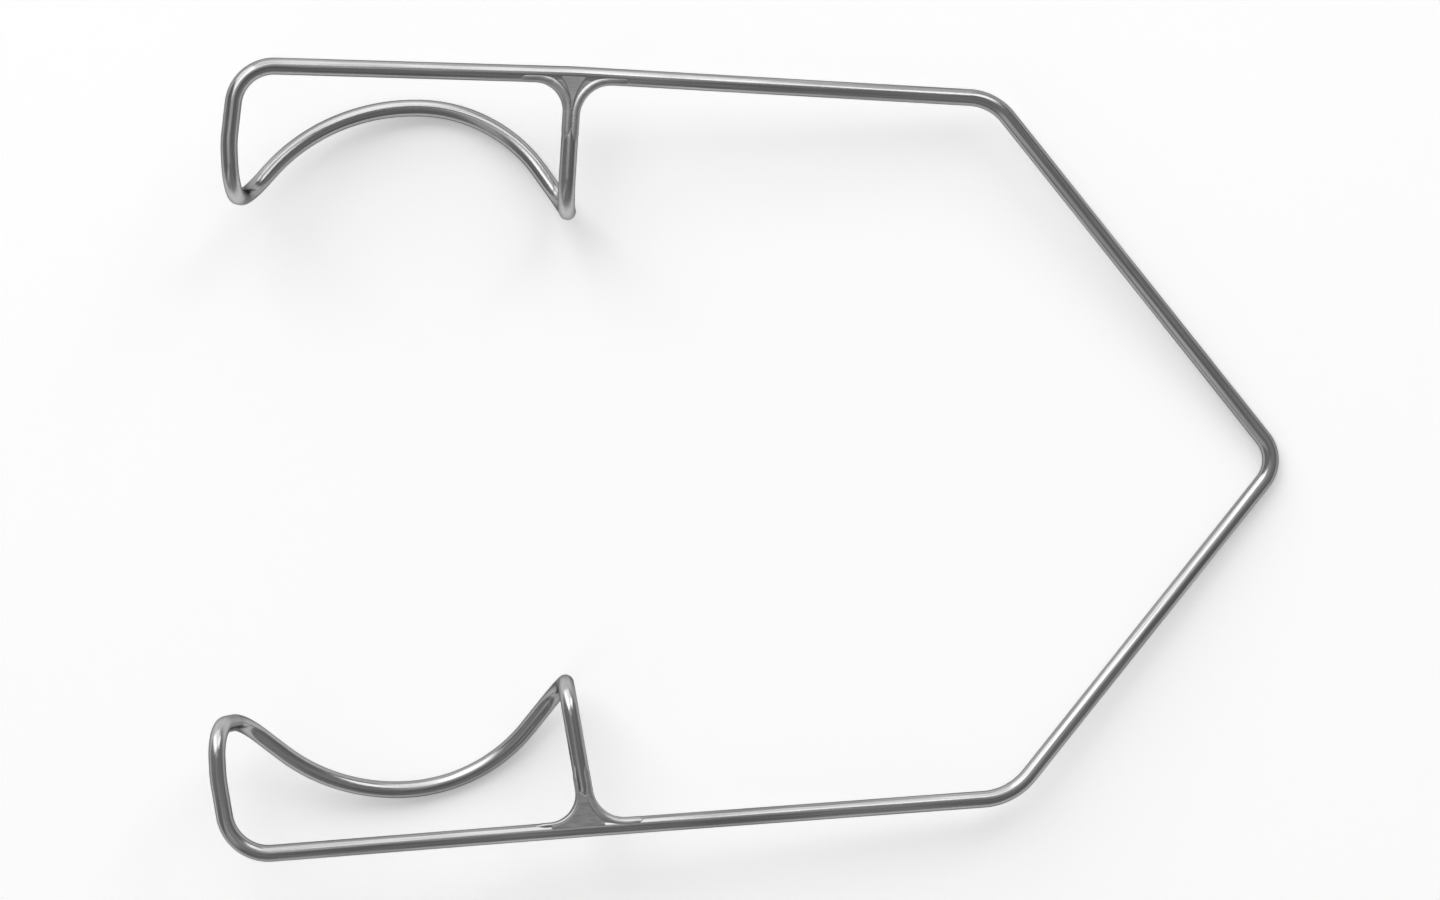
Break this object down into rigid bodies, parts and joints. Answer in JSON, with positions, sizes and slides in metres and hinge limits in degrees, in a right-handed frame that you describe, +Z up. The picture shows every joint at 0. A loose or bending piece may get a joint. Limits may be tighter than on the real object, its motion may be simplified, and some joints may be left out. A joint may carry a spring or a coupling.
{
  "type": "wire eye speculum",
  "caption": "Spring wire bent to a pointed bow, with an open lid hook on each arm, that holds the eyelids apart.",
  "frame": {"origin": "under the middle of the part's outline, at the height of the ground it rests on", "axes": "+X from the blades to the apex of the bow, +Y across towards the upper blade of the picture, +Z up out of the ground it rests on, with the lid hooks folded down"},
  "size_m": [0.0444, 0.033, 0.0063],
  "materials": {
    "steel": "satin polished stainless spring wire"
  },
  "bodies": {
    "root": {"speculum_wire": "steel"}
  },
  "joints": []
}
